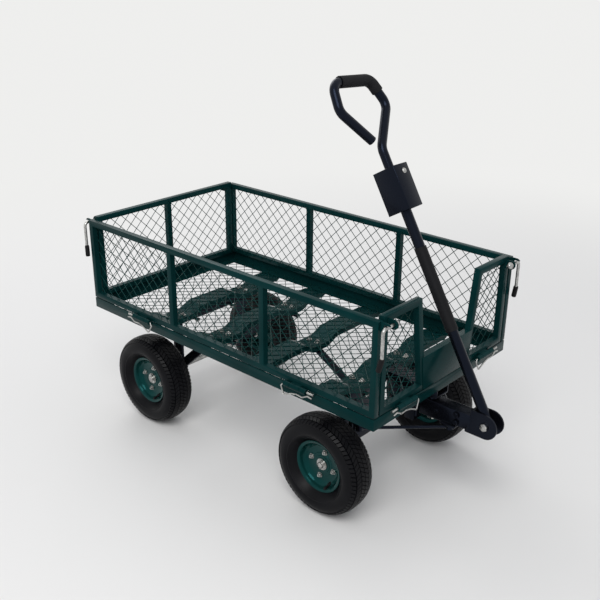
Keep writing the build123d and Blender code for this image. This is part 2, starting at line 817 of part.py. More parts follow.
def tie_rod(side):
    """Tie rod from the tongue's plate to one steering arm."""
    z = tie_eye_top - tie_eye_height / 2
    inner = (tongue_pivot_x + arm_reach, arm_offset, z)
    outer = (wheelbase_half + arm_reach, kingpin_y + arm_offset, z)
    part = rod(inner, outer, tie_rod_radius)
    for end in (inner, outer):
        part = part + Pos(*end) * Cylinder(tie_eye_radius, tie_eye_height)
    for end in (inner, outer):
        part = part - Pos(*end) * Cylinder(tie_bolt_radius + running_fit, 3 * tie_eye_height)
    return part if side > 0 else mirrored(part)


# ---------------------------------------------------------------- clevis and handle
def clevis():
    """Web and two rounded ears that hold the handle."""
    x0 = clevis_web_front - clevis_web_wall
    bottom = clevis_web_top - clevis_web_height
    outer_y = clevis_ear_inner + clevis_ear_wall
    web = box_between(x0, clevis_web_front, -outer_y, outer_y, bottom, clevis_web_top)
    outline = box_between(x0, handle_pivot_x, 0, clevis_ear_wall, bottom, clevis_web_top)
    disc_z = (bottom + clevis_web_top) / 2
    disc = Pos(handle_pivot_x, clevis_ear_wall / 2, disc_z) * Rot(90, 0, 0) * Cylinder(
        clevis_web_height / 2, clevis_ear_wall
    )
    plate = outline + disc
    ears = Pos(0, clevis_ear_inner, 0) * plate + Pos(0, -outer_y, 0) * plate
    bore = Pos(handle_pivot_x, 0, handle_pivot_z) * Rot(90, 0, 0) * Cylinder(
        handle_bolt_radius + running_fit, 4 * outer_y
    )
    return web + ears - bore


def handle_bolt():
    """Bolt through the clevis ears and the shaft's foot."""
    reach = clevis_ear_inner + clevis_ear_wall
    shank = rod(
        (handle_pivot_x, -reach - 1, handle_pivot_z), (handle_pivot_x, reach + 10, handle_pivot_z), handle_bolt_radius
    )
    hexagon = Plane(origin=(handle_pivot_x, -reach - 0.3, handle_pivot_z), z_dir=(0, -1, 0)) * RegularPolygon(
        10, 6
    )
    nut_face = Plane(origin=(handle_pivot_x, reach + 0.3, handle_pivot_z), z_dir=(0, 1, 0)) * RegularPolygon(10, 6)
    return shank + extrude(hexagon, amount=6) + extrude(nut_face, amount=8)


def handle_shaft():
    """Straight tube from the clevis up into the hitch box."""
    shaft = rod(along_handle(-shaft_heel), along_handle(shaft_end), shaft_radius)
    bore = Pos(handle_pivot_x, 0, handle_pivot_z) * Rot(90, 0, 0) * Cylinder(
        handle_bolt_radius + running_fit, 4 * shaft_radius
    )
    return shaft - bore


def handle_sleeve():
    """Matte sleeve round the middle of the shaft."""
    outer = rod(along_handle(sleeve_start), along_handle(sleeve_end), shaft_radius + sleeve_wall)
    inner = rod(along_handle(sleeve_start - 1), along_handle(sleeve_end + 1), shaft_radius)
    return outer - inner


def hitch_box():
    """Folded channel at the top of the shaft, open at the back, with two plates round the tubes."""
    middle = hitch_box_start + hitch_box_length / 2
    outer = handle_plane(middle) * Box(hitch_box_depth, hitch_box_width, hitch_box_length)
    wall = hitch_box_wall
    hollow = handle_plane(middle) * Pos(-wall / 2, 0, 0) * Box(
        hitch_box_depth - wall, hitch_box_width - 2 * wall, hitch_box_length
    )
    low = hitch_box_start + hitch_plate_inset
    high = hitch_box_start + hitch_box_length - hitch_plate_inset
    seats = ((low, shaft_radius + seat_gap), (high, loop_tube_radius + seat_gap))
    box = outer - hollow
    for distance, radius in seats:
        plate = handle_plane(distance) * Pos(-wall / 2, 0, 0) * Box(
            hitch_box_depth - wall, hitch_box_width - 2 * wall, wall
        )
        hole = handle_plane(distance) * Cylinder(radius, 2 * wall)
        box = box + (plate - hole)
    return box


def loop_point(corner):
    """A corner of the grip loop, given as (side, distance along the handle)."""
    return along_handle(corner[1], 0, corner[0])


def between(start, end, length):
    """The point a length from one corner towards another."""
    share = length / math.dist(start, end)
    return tuple(a + share * (b - a) for a, b in zip(start, end))


def grip_loop():
    """Bent tube: up one side, across the grip and back down to the shaft."""
    r = loop_tube_radius
    corners = [
        (0, shaft_end), (0, loop_neck), loop_right, loop_top_right, loop_top_left, loop_left, (-2 * r - 1, loop_tip),
    ]
    path = FilletPolyline(*[loop_point(corner) for corner in corners], radius=[loop_bend + 6] + [loop_bend] * 4)
    return sweep(Plane(path @ 0, z_dir=path % 0) * Circle(r), path=path)


def grip_foam():
    """Foam grip over the top of the loop and round its right bend."""
    corners = [
        between(loop_top_left, loop_top_right, grip_start), loop_top_right,
        between(loop_top_right, loop_right, grip_end),
    ]
    path = FilletPolyline(*[loop_point(corner) for corner in corners], radius=loop_bend)
    plane = Plane(path @ 0, z_dir=path % 0)
    outer = sweep(plane * Circle(loop_tube_radius + grip_wall), path=path)
    return outer - sweep(plane * Circle(loop_tube_radius + seat_gap), path=path)


# ---------------------------------------------------------------- wheels
def left_tyre(x):
    """Pneumatic tyre of a left wheel, as a closed ring round the rim."""
    w = tyre_half_width
    r = tyre_radius
    bead = bead_radius
    seat = rim_half_width - seat_gap
    edge = (rim_half_width + 2, rim_radius + 3)
    shoulder = (w - 6, r - 10)
    half = Polyline((0, bead), (seat, bead), (seat, rim_radius + 0.5), edge)
    half = half + ThreePointArc(edge, (w, r - 32), shoulder)
    half = half + ThreePointArc(shoulder, (w - 12, r - 3), (w - 20, r))
    half = half + Line((w - 20, r), (0, r))
    outline = Wire(half.edges() + mirror(half, about=Plane.YZ).edges())
    face = Plane.YX * Face(outline)
    ring = revolve(face, axis=Axis.Y, revolution_arc=360)
    return Pos(x, wheel_track_half, axle_height) * ring


def left_rim(x):
    """Left rim turned in one piece: hub, dished disc, barrel and two flanges; +Y is its outer side."""
    bore = axle_radius + axle_clearance
    half = rim_half_width
    barrel_outer = bead_radius - seat_gap
    barrel_inner = barrel_outer - rim_wall
    disc_back = disc_face - disc_wall
    profile = [
        (bore, -hub_inner), (hub_radius, -hub_inner), (hub_radius, disc_back), (dish_radius, disc_back),
        (barrel_inner, half - rim_wall), (barrel_inner, -half - rim_wall), (rim_radius, -half - rim_wall),
        (rim_radius, -half), (barrel_outer, -half), (barrel_outer, half), (rim_radius, half),
        (rim_radius, half + rim_wall), (barrel_inner, half + rim_wall), (dish_radius, disc_face),
        (hub_radius, disc_face), (hub_radius, hub_outer), (bore, hub_outer),
    ]
    face = make_face(Polyline(*profile, close=True))
    return Pos(x, wheel_track_half, axle_height) * revolve(face, axis=Axis.Y, revolution_arc=360)


# ---------------------------------------------------------------- all nodes
def all_nodes():
    """Every node as name: list of solids, around the middle of the deck."""
    nodes = {
        "deck_frame": deck_frame(),
        "deck_mesh": deck_mesh(),
        "cross_members": cross_members(),
        "front_panel_frame": front_panel_frame(),
        "front_panel_mesh": front_panel_mesh(),
        "front_panel_sheet": front_panel_sheet(),
        "rear_panel_frame": rear_panel_frame(),
        "rear_panel_mesh": rear_panel_mesh(),
        "right_panel_frame": right_panel_frame(),
        "right_panel_mesh": right_panel_mesh(),
        "left_panel_frame": mirrored(right_panel_frame()),
        "left_panel_mesh": mirrored(right_panel_mesh()),
        "front_latch_rods": [latch_rod(1), mirrored(latch_rod(1))],
        "rear_latch_rods": [latch_rod(-1), mirrored(latch_rod(-1))],
        "rear_axle_frame": rear_axle_frame(),
        "rear_axle": rear_axle(),
        "front_axle_beam": front_axle_beam(),
        "front_axle_brace": front_axle_brace(),
        "steering_support": steering_support(),
        "steering_kingbolt": kingbolt(),
        "tongue": tongue(),
        "tongue_clevis": clevis(),
        "knuckle_left": knuckle_part(1),
        "knuckle_right": knuckle_part(-1),
        "tie_rod_left": tie_rod(1),
        "tie_rod_right": tie_rod(-1),
        "handle_bolt": handle_bolt(),
        "handle_shaft": handle_shaft(),
        "handle_sleeve": handle_sleeve(),
        "hitch_box": hitch_box(),
        "grip_loop": grip_loop(),
        "grip_foam": grip_foam(),
    }
    for side, places in hinge_places().items():
        nodes["hinge_pins_" + side] = [hinge_pin(place, outward) for place, outward in zip(places, (-1, 1))]
    for end, x in (("front", wheelbase_half), ("rear", -wheelbase_half)):
        nodes["tyre_" + end + "_left"] = left_tyre(x)
        nodes["tyre_" + end + "_right"] = mirrored(left_tyre(x))
        nodes["rim_" + end + "_left"] = left_rim(x)
        nodes["rim_" + end + "_right"] = mirrored(left_rim(x))
    return nodes


def as_compound(item):
    """One exportable shape from a piece or a list of pieces."""
    if isinstance(item, list):
        return Compound(children=[solid for piece in item for solid in piece.solids()])
    return item


nodes = {name: as_compound(item) for name, item in all_nodes().items()}
overall = Compound(children=[Compound(shape.solids()) for shape in nodes.values()]).bounding_box()
centre_x = (overall.min.X + overall.max.X) / 2
to_origin = Pos(-centre_x, 0, -overall.min.Z)

os.makedirs("parts", exist_ok=True)
for name, shape in nodes.items():
    placed = to_origin * shape
    placed.label = name
    export_step(placed, "parts/" + name + ".step")
print("deck centre sits at x =", round(-centre_x, 3), " lowest z =", round(overall.min.Z, 4))
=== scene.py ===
import json
import math
import bmesh
import bpy
from mathutils import Matrix, Vector


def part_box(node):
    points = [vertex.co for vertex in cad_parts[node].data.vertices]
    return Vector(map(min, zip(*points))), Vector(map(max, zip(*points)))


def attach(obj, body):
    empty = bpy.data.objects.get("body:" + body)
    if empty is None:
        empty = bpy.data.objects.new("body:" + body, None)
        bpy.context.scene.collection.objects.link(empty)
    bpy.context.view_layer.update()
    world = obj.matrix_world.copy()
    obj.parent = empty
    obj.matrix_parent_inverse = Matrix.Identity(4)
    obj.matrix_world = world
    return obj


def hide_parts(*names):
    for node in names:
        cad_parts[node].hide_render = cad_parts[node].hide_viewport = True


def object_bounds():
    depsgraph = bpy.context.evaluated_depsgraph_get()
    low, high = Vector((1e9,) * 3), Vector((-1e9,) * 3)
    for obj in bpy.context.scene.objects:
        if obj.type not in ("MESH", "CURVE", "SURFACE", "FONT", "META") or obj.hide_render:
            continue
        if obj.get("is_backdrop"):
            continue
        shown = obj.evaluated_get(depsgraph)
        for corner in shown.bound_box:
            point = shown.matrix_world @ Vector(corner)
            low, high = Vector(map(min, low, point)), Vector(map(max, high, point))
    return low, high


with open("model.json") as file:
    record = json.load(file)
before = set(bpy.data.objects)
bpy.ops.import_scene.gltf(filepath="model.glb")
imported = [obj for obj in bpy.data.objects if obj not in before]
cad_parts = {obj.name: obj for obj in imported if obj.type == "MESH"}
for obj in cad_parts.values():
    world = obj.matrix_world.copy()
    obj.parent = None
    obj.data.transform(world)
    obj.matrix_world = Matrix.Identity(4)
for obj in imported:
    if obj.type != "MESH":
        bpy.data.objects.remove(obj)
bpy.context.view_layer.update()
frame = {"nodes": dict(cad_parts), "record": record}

# Lengths are in metres. The middle of the deck lies at MID_X, and place() counts from there.
DECK_LOW, DECK_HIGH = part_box("deck_frame")
MID_X = (DECK_LOW[0] + DECK_HIGH[0]) / 2
AXLE_Z = 0.128
HALF_TRACK = 0.221
HALF_WHEELBASE = 0.321
PANEL_LOW = 0.345
PANEL_HIGH = 0.580
TUBE = 0.015


# ------------------------------------------------------------------ finishes
class Val:
    """A shader value that takes part in plain arithmetic."""

    def __init__(self, finish, socket):
        self.finish = finish
        self.socket = socket

    def join(self, operation, first, second):
        return self.finish.node("ShaderNodeMath", {"operation": operation}, {0: first, 1: second})

    def __add__(self, other):
        return self.join("ADD", self, other)

    def __radd__(self, other):
        return self.join("ADD", other, self)

    def __mul__(self, other):
        return self.join("MULTIPLY", self, other)

    def __rmul__(self, other):
        return self.join("MULTIPLY", other, self)

    def clamp(self):
        return self.finish.node("ShaderNodeClamp", None, {"Value": self})


class Nodes:
    """Makes the nodes of one node tree."""

    def __init__(self, tree):
        self.tree = tree

    def feed(self, made, sockets):
        """Links shader values to sockets, and sets the sockets of plain ones."""
        for key, value in sockets.items():
            if isinstance(value, Val):
                self.tree.links.new(value.socket, made.inputs[key])
            else:
                made.inputs[key].default_value = value

    def node(self, kind, settings=None, sockets=None, out=0):
        made = self.tree.nodes.new(kind)
        for key, value in (settings or {}).items():
            setattr(made, key, value)
        self.feed(made, sockets or {})
        return Val(self, made.outputs[out])

    def mix(self, factor, first, second):
        return self.node(
            "ShaderNodeMix", {"data_type": "RGBA"}, {0: factor, 6: first, 7: second}, out=2
        )

    def seen(self):
        """1 for rays that look at the room, straight on or in gloss, 0 for the light it gives."""
        path = self.tree.nodes.new("ShaderNodeLightPath")
        camera, glossy, through = (
            Val(self, path.outputs[key])
            for key in ("Is Camera Ray", "Is Glossy Ray", "Is Transmission Ray")
        )
        return (camera + glossy + through).clamp()


class Finish(Nodes):
    """A material made of node calls round one Principled shader."""

    def __init__(self, name, **sockets):
        self.material = bpy.data.materials.new(name)
        self.material.use_nodes = True
        super().__init__(self.material.node_tree)
        self.tree.nodes.clear()
        self.output = self.tree.nodes.new("ShaderNodeOutputMaterial")
        self.shader = self.tree.nodes.new("ShaderNodeBsdfPrincipled")
        self.tree.links.new(self.shader.outputs[0], self.output.inputs[0])
        self.place = self.node("ShaderNodeTexCoord", out="Object")
        self.set(**sockets)

    def set(self, **sockets):
        self.feed(self.shader, {key.replace("_", " "): value for key, value in sockets.items()})

    def noise(self, scale, detail=2.0, roughness=0.5):
        return self.node(
            "ShaderNodeTexNoise", None,
            {"Vector": self.place, "Scale": scale, "Detail": detail, "Roughness": roughness},
        )

    def cells(self, scale):
        return self.node("ShaderNodeTexVoronoi", None, {"Vector": self.place, "Scale": scale})

    def ramp(self, value, low, high):
        return self.node(
            "ShaderNodeMapRange", {"interpolation_type": "SMOOTHSTEP"},
            {"Value": value, "From Min": low, "From Max": high},
        )

    def bump(self, height, strength, distance):
        return self.node(
            "ShaderNodeBump", None,
            {"Height": height, "Strength": strength, "Distance": distance}, out="Normal",
        )

    def upward(self):
        """1 on faces that look up, 0 on walls and undersides."""
        normal = self.node("ShaderNodeNewGeometry", out="Normal")
        z = self.node("ShaderNodeSeparateXYZ", None, {0: normal}, out="Z")
        return self.ramp(z, 0.35, 0.95)


def rgb(red, green, blue):
    return (red, green, blue, 1.0)


def powder_coat(name, base, deep, dust_and_top_sheen, roughness, grain, shine, tint):
    """Thick sprayed coat: fine orange peel, slow tone drift, and on upper faces a lighter tint
    that is partly dust specks and partly a painted highlight.
    """
    coat = Finish(name, Specular_IOR_Level=shine, Specular_Tint=tint)
    drift = coat.ramp(coat.noise(9.0, 3.0), 0.35, 0.68)
    specks = coat.ramp(coat.noise(260.0, 4.0, 0.7), 0.62, 0.80)
    # upward faces take the dust colour: partly speckled dust, partly a painted highlight where
    # light falls on the tops
    dust_and_sheen_mask = (coat.upward() * (0.02 + 0.12 * specks) + 0.02 * specks).clamp()
    coat.set(
        Base_Color=coat.mix(dust_and_sheen_mask, coat.mix(drift, base, deep), dust_and_top_sheen),
        Roughness=(roughness + 0.08 * coat.noise(38.0, 3.0) + 0.5 * dust_and_sheen_mask).clamp(),
        Normal=coat.bump(coat.noise(grain, 2.0, 0.45), 0.12, 0.0006),
    )
    return coat.material


def plated(name, base, deep, roughness):
    """Zinc plate: cloudy grey with a faint brushed grain."""
    zinc = Finish(name, Metallic=1.0)
    cloud = zinc.ramp(zinc.noise(120.0, 4.0, 0.65), 0.35, 0.70)
    grain = zinc.noise(900.0, 2.0, 0.6)
    zinc.set(
        Base_Color=zinc.mix(cloud, base, deep),
        Roughness=(roughness + 0.20 * cloud + 0.06 * grain).clamp(),
        Normal=zinc.bump(grain, 0.10, 0.0003),
    )
    return zinc.material


def rubber(name, base, worn, grit, roughness):
    """Rubber with worn patches, specks of dust and a fine moulded grain."""
    skin = Finish(name, Specular_IOR_Level=0.11)
    patch = skin.ramp(skin.noise(16.0, 4.0, 0.6), 0.42, 0.72)
    specks = skin.ramp(skin.noise(420.0, 3.0, 0.7), 0.60, 0.78)
    fine = skin.noise(grit, 3.0, 0.6)
    skin.set(
        Base_Color=skin.mix((0.45 * patch + 0.20 * specks).clamp(), base, worn),
        Roughness=(roughness + 0.16 * patch + 0.08 * fine).clamp(),
        Normal=skin.bump(fine, 0.16, 0.0007),
    )
    return skin.material


GREEN_SHEEN = rgb(0.14, 0.72, 0.76)
# the light teal given to the green coats as their dust colour is mostly a painted highlight on
# their upper faces
GREEN = powder_coat(
    "green powder coat", base=rgb(0.0026, 0.0265, 0.0270), deep=rgb(0.0020, 0.0200, 0.0205),
    dust_and_top_sheen=rgb(0.04, 0.11, 0.11), roughness=0.18, grain=520.0, shine=0.07, tint=GREEN_SHEEN,
)
RIM = powder_coat(
    "green rim coat", base=rgb(0.0030, 0.0310, 0.0285), deep=rgb(0.0022, 0.0235, 0.0220),
    dust_and_top_sheen=rgb(0.06, 0.11, 0.10), roughness=0.09, grain=420.0, shine=0.28, tint=GREEN_SHEEN,
)
GREEN_WIRE = powder_coat(
    "green coated wire", base=rgb(0.0036, 0.0300, 0.0270), deep=rgb(0.0026, 0.0225, 0.0205),
    dust_and_top_sheen=rgb(0.08, 0.13, 0.12), roughness=0.26, grain=700.0, shine=0.10, tint=GREEN_SHEEN,
)
BLACK = powder_coat(
    "black powder coat", base=rgb(0.0034, 0.0038, 0.0054), deep=rgb(0.0024, 0.0027, 0.0040),
    dust_and_top_sheen=rgb(0.06, 0.06, 0.07), roughness=0.20, grain=620.0, shine=0.22,
    tint=rgb(0.42, 0.55, 0.90),
)
ZINC = plated(
    "zinc plate", base=rgb(0.52, 0.52, 0.50), deep=rgb(0.30, 0.30, 0.30), roughness=0.18
)
TYRE = rubber(
    "tyre rubber", base=rgb(0.0026, 0.0027, 0.0038), worn=rgb(0.0070, 0.0072, 0.0092),
    grit=900.0, roughness=0.34,
)
DIPPED = rubber(
    "dipped black tip", base=rgb(0.0070, 0.0070, 0.0078), worn=rgb(0.012, 0.012, 0.013),
    grit=500.0, roughness=0.42,
)

FOAM = Finish("grip foam", Specular_IOR_Level=0.2)
FOAM.set(
    Base_Color=FOAM.mix(
        FOAM.noise(60.0, 3.0), rgb(0.0042, 0.0044, 0.0056), rgb(0.0080, 0.0082, 0.0100)
    ),
    Roughness=0.62 + 0.15 * FOAM.noise(300.0),
    Normal=FOAM.bump(FOAM.cells(1500.0), 0.30, 0.0006),
)
SLEEVE = Finish("matte sleeve", Specular_IOR_Level=0.16)
SLEEVE.set(
    Base_Color=SLEEVE.mix(
        SLEEVE.noise(30.0, 3.0), rgb(0.0036, 0.0038, 0.0050), rgb(0.0062, 0.0064, 0.0080)
    ),
    Roughness=0.50 + 0.15 * SLEEVE.noise(200.0),
    Normal=SLEEVE.bump(SLEEVE.noise(1200.0), 0.15, 0.0004),
)

FINISH_OF_SLOT = {
    "green_paint": GREEN, "rim_paint": GREEN, "black_paint": BLACK, "zinc": ZINC, "tyre": TYRE,
    "foam": FOAM.material, "black_sleeve": SLEEVE.material,
}
for entry in frame["record"]["subparts"]:
    shown = frame["nodes"][entry["node"]]
    shown.data.materials.clear()
    shown.data.materials.append(FINISH_OF_SLOT[entry["material_slot"]])

BODY_OF = {
    node: body
    for body, nodes in frame["record"]["behaviour"]["bodies"].items() for node in nodes
}
SLOT_OF = {entry["node"]: entry["material_slot"] for entry in frame["record"]["subparts"]}


# ------------------------------------------------------------------ piece making
def place(x, y, z):
    """A point given from the middle of the deck, on the floor."""
    return Vector((MID_X + x, y, z))


def piece(name, bm, material, body, replaced=(), smooth=35.0):
    """Turns a bmesh into a named piece that rides on a body."""
    bmesh.ops.remove_doubles(bm, verts=bm.verts, dist=1e-6)
    bmesh.ops.recalc_face_normals(bm, faces=bm.faces)
    mesh = bpy.data.meshes.new(name)
    bm.to_mesh(mesh)
    bm.free()
    mesh.materials.append(material)
    mesh.shade_smooth()
    mesh.set_sharp_from_angle(angle=math.radians(smooth))
    made = bpy.data.objects.new(name, mesh)
    bpy.context.collection.objects.link(made)
    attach(made, body)
    if replaced:
        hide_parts(*replaced)


def stand_in(name, bm, material, node, smooth):
    """A piece that takes a node's place and rides on the same body; the node is hidden."""
    piece(name, bm, material, BODY_OF[node], (node,), smooth)


def turned(bm, profile, centre, axis, steps):
    """Spins a profile of (radius, height along axis) points round an axis."""
    axis = Vector(axis).normalized()
    side = axis.orthogonal().normalized()
    ring = [bm.verts.new(centre + side * radius + axis * height) for radius, height in profile]
    edges = [bm.edges.new(pair) for pair in zip(ring, ring[1:])]
    bmesh.ops.spin(
        bm, geom=ring + edges, cent=centre, axis=axis, angle=math.tau, steps=steps,
        use_merge=True,
    )


def aim(start, end):
    """Matrix that lays a shape made along Z, round its middle, between two points."""
    turn = (end - start).to_track_quat("Z", "Y").to_matrix().to_4x4()
    return Matrix.Translation((start + end) / 2) @ turn


def bar(bm, start, end, radius, segments, top=None):
    """Round bar between two points, which may taper to radius top."""
    return bmesh.ops.create_cone(
        bm, cap_ends=True, segments=segments, radius1=radius,
        radius2=radius if top is None else top, depth=(end - start).length,
        matrix=aim(start, end),
    )


def bevel(bm, edges, width, segments, clamp_overlap=False):
    bmesh.ops.bevel(
        bm, geom=edges, offset=width, segments=segments, profile=0.5, affect="EDGES",
        material=-1, clamp_overlap=clamp_overlap,
    )


def hexagon(bm, start, end, radius):
    """Hexagon head or nut between two points, with softened corners."""
    made = bar(bm, start, end, radius, 6)
    edges = dict.fromkeys(edge for vert in made["verts"] for edge in vert.link_edges)
    bevel(bm, list(edges), radius * 0.09, 1)


# ------------------------------------------------------------------ rounded edges
SEAM = 2e-5  # the faces of a CAD mesh are joined where they lie this close
LIP_START, LIP_LOW = 0.262, 0.3108  # past LIP_START the cross members' lips are trimmed to LIP_LOW
BENDS = (12, 32)  # degrees between the faces along a bend in sheet metal
HARD = (40, 181)  # degrees between the faces along a hard edge


def folds(bm, angles, shortest):
    """Edges longer than shortest between faces that meet at one of the angles."""
    return [
        edge for edge in bm.edges
        if len(edge.link_faces) == 2
        and angles[0] < math.degrees(edge.calc_face_angle()) < angles[1]
        and edge.calc_length() > shortest
    ]


def rounded(node, width, bend=0.0, rims=False):
    """A rigid node with its hard edges rounded by width, its shallow bends by bend, and its
    round rims too."""
    bm = bmesh.new()
    bm.from_mesh(frame["nodes"][node].data)
    bmesh.ops.remove_doubles(bm, verts=bm.verts, dist=SEAM)
    if node == "cross_members":
        for vert in bm.verts:
            if abs(vert.co.y) > LIP_START:
                vert.co.z = max(vert.co.z, LIP_LOW)
    bmesh.ops.dissolve_limit(
        bm, angle_limit=math.radians(1.0), verts=bm.verts, edges=bm.edges
    )
    if bend:
        bevel(bm, folds(bm, BENDS, 4 * width), bend, 5, clamp_overlap=True)
    bevel(bm, folds(bm, HARD, 0.0 if rims else 3 * width), width, 2, clamp_overlap=True)
    stand_in("rounded_" + node, bm, FINISH_OF_SLOT[SLOT_OF[node]], node, 32.0)


ROUNDED = {
    "deck_frame": 0.0008, "front_panel_frame": 0.0014, "rear_panel_frame": 0.0014,
    "right_panel_frame": 0.0014, "left_panel_frame": 0.0014, "front_panel_sheet": 0.0006,
    "hitch_box": 0.0022, "tongue": 0.0014, "tongue_clevis": 0.0008, "rear_axle_frame": 0.0012,
    "front_axle_beam": 0.0012, "front_axle_brace": 0.0008, "steering_support": 0.0008,
    "knuckle_left": 0.0008, "knuckle_right": 0.0008,
}
for node, width in ROUNDED.items():
    rounded(node, width)
rounded("cross_members", 0.0006, bend=0.010)
rounded("grip_foam", 0.0022, rims=True)
rounded("handle_bolt", 0.0014, rims=True)


# ------------------------------------------------------------------ welded wire mesh
WIRE = 0.00095  # radius of a wire
WIRE_STEP = 0.036  # from wire to wire, along the sheet
LAYER = 0.85  # from the middle of the sheet to the middle of a layer, in wire radii
WIRES_EACH_WAY = 60
SHORTEST_WIRE = 0.004


def chord(point, direction, outline):
    """Where a line crosses a convex outline, as two distances along the line, or None."""
    low, high = -math.inf, math.inf
    for (ax, ay), (bx, by) in zip(outline, outline[1:] + outline[:1]):
        nx, ny = by - ay, ax - bx
        away = (point[0] - ax) * nx + (point[1] - ay) * ny
        speed = direction[0] * nx + direction[1] * ny
        if abs(speed) < 1e-9:
            if away > 0:
                return None
        elif speed > 0:
            high = min(high, -away / speed)
        else:
            low = max(low, -away / speed)
    return (low, high) if high - low > SHORTEST_WIRE else None


def wire_net(bm, origin, across, up, outline):
    """Two layers of wires at 45 degrees, cut to a counter-clockwise outline in the (across, up)
    plane."""
    across, up = Vector(across), Vector(up)
    normal = across.cross(up)
    middle = [sum(corner[k] for corner in outline) / len(outline) for k in (0, 1)]
    for layer, slope in ((-LAYER, 1.0), (LAYER, -1.0)):
        direction = (math.sqrt(0.5), math.sqrt(0.5) * slope)
        for number in range(-WIRES_EACH_WAY, WIRES_EACH_WAY + 1):
            point = (middle[0] + number * WIRE_STEP, middle[1])
            ends = chord(point, direction, outline)
            if not ends:
                continue
            start, end = (
                origin + across * (point[0] + direction[0] * t)
                + up * (point[1] + direction[1] * t) + normal * layer * WIRE
                for t in ends
            )
            bar(bm, start, end, WIRE, 6)


def net_piece(name, node, outlines, origin, across, up):
    """Wires in the place of a node's sheet, inside each of the outlines."""
    bm = bmesh.new()
    for outline in outlines:
        wire_net(bm, Vector(origin), across, up, outline)
    stand_in(name, bm, GREEN_WIRE, node, 50.0)


def rectangle(x0, x1, y0, y1):
    return [(x0, y0), (x1, y0), (x1, y1), (x0, y1)]


FLOOR_LOW, FLOOR_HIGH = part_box("deck_mesh")
net_piece(
    "floor_net", "deck_mesh",
    [rectangle(FLOOR_LOW[0], FLOOR_HIGH[0], FLOOR_LOW[1], FLOOR_HIGH[1])],
    (0, 0, (FLOOR_LOW[2] + FLOOR_HIGH[2]) / 2), (1, 0, 0), (0, 1, 0),
)
for side in ("right", "left"):
    low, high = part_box(side + "_panel_mesh")
    net_piece(
        side + "_side_net", side + "_panel_mesh", [rectangle(low[0], high[0], low[2], high[2])],
        (0, (low[1] + high[1]) / 2, 0), (1, 0, 0), (0, 0, 1),
    )
low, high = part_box("rear_panel_mesh")
net_piece(
    "rear_net", "rear_panel_mesh", [rectangle(low[1], high[1], low[2], high[2])],
    ((low[0] + high[0]) / 2, 0, 0), (0, 1, 0), (0, 0, 1),
)

# the front panel's notch widens upwards, and the wires stop short of the tubes beside it
NOTCH_LOW, NOTCH_HIGH = 0.084, 0.118
NOTCH_MARGIN = 0.007


def notch_half(z):
    """Half the width of the notch at height z."""
    rise = (z - PANEL_LOW) / (PANEL_HIGH - PANEL_LOW)
    return NOTCH_LOW + (NOTCH_HIGH - NOTCH_LOW) * rise


low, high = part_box("front_panel_mesh")
left_outline = [
    (notch_half(low[2]) + NOTCH_MARGIN, low[2]), (high[1], low[2]), (high[1], high[2]),
    (notch_half(high[2]) + NOTCH_MARGIN, high[2]),
]
right_outline = [(-y, z) for y, z in reversed(left_outline)]
net_piece(
    "front_net", "front_panel_mesh", [left_outline, right_outline],
    ((low[0] + high[0]) / 2, 0, 0), (0, 1, 0), (0, 0, 1),
)


# ------------------------------------------------------------------ tyres
PITCHES = 34
TREAD = [
    # (radius, across) of the groove floors, from the middle of the tread to the shoulder
    (0.1253, 0.0000), (0.1248, 0.0125), (0.1215, 0.0262), (0.1140, 0.0362),
]
SKEW = (0.0, 0.34, -0.06, 0.10)  # how far each row of points is turned, in pitches
SHOULDER_START = TREAD[2][1]
SHOULDER_BLOCK = {"thickness": 0.0018, "depth": 0.0028}
MIDDLE_BLOCK = {"thickness": 0.0011, "depth": 0.0024}
SIDEWALL = [
    # (radius, across) from the shoulder to the inner edge of the bead
    (0.1140, 0.0362), (0.1108, 0.0386), (0.1060, 0.0406), (0.1000, 0.0417), (0.0940, 0.0418),
    (0.0890, 0.0408), (0.0868, 0.0398), (0.0860, 0.0402), (0.0848, 0.0402), (0.0838, 0.0392),
    (0.0800, 0.0352), (0.0760, 0.0305), (0.0728, 0.0258), (0.0705, 0.0222), (0.0685, 0.0202),
    (0.0600, 0.0202),
]
BEAD_SEAT = [(0.0600, -0.0202), (0.0600, 0.0202)]


def make_tyre(corner, x, y):
    """Carcass with zigzag tread blocks raised between thin grooves, and a ribbed sidewall."""
    bm = bmesh.new()
    centre = place(x, y, AXLE_Z)
    tread = [(radius, -across) for radius, across in reversed(TREAD[1:])] + TREAD
    turned(bm, tread, centre, (0, 1, 0), PITCHES * 2)
    for (_, across), skew in zip(TREAD, SKEW):
        for side in (-1, 1):
            row = [v for v in bm.verts if abs(v.co.y - centre.y - side * across) < 1e-5]
            turn = Matrix.Rotation(side * skew * math.tau / PITCHES, 3, "Y")
            bmesh.ops.rotate(bm, verts=row, cent=centre, matrix=turn)

    # the blocks rise along the normals, which therefore point outward first
    bmesh.ops.recalc_face_normals(bm, faces=bm.faces)
    first = next(iter(bm.faces))
    spoke = first.calc_center_median() - centre
    if Vector((spoke.x, 0, spoke.z)).dot(first.normal) < 0:
        bmesh.ops.reverse_faces(bm, faces=bm.faces)
    offsets = [(face, abs(face.calc_center_median().y - centre.y)) for face in bm.faces]
    shoulder = [face for face, offset in offsets if offset > SHOULDER_START]
    middle = [face for face, offset in offsets if offset < SHOULDER_START]
    bmesh.ops.inset_individual(bm, faces=shoulder, **SHOULDER_BLOCK)
    bmesh.ops.inset_individual(bm, faces=middle, **MIDDLE_BLOCK)

    for side in (-1, 1):
        sidewall = [(radius, side * across) for radius, across in SIDEWALL]
        turned(bm, sidewall, centre, (0, 1, 0), PITCHES * 2)
    turned(bm, BEAD_SEAT, centre, (0, 1, 0), PITCHES * 2)
    stand_in("treaded_tyre_" + corner, bm, TYRE, "tyre_" + corner, 34.0)


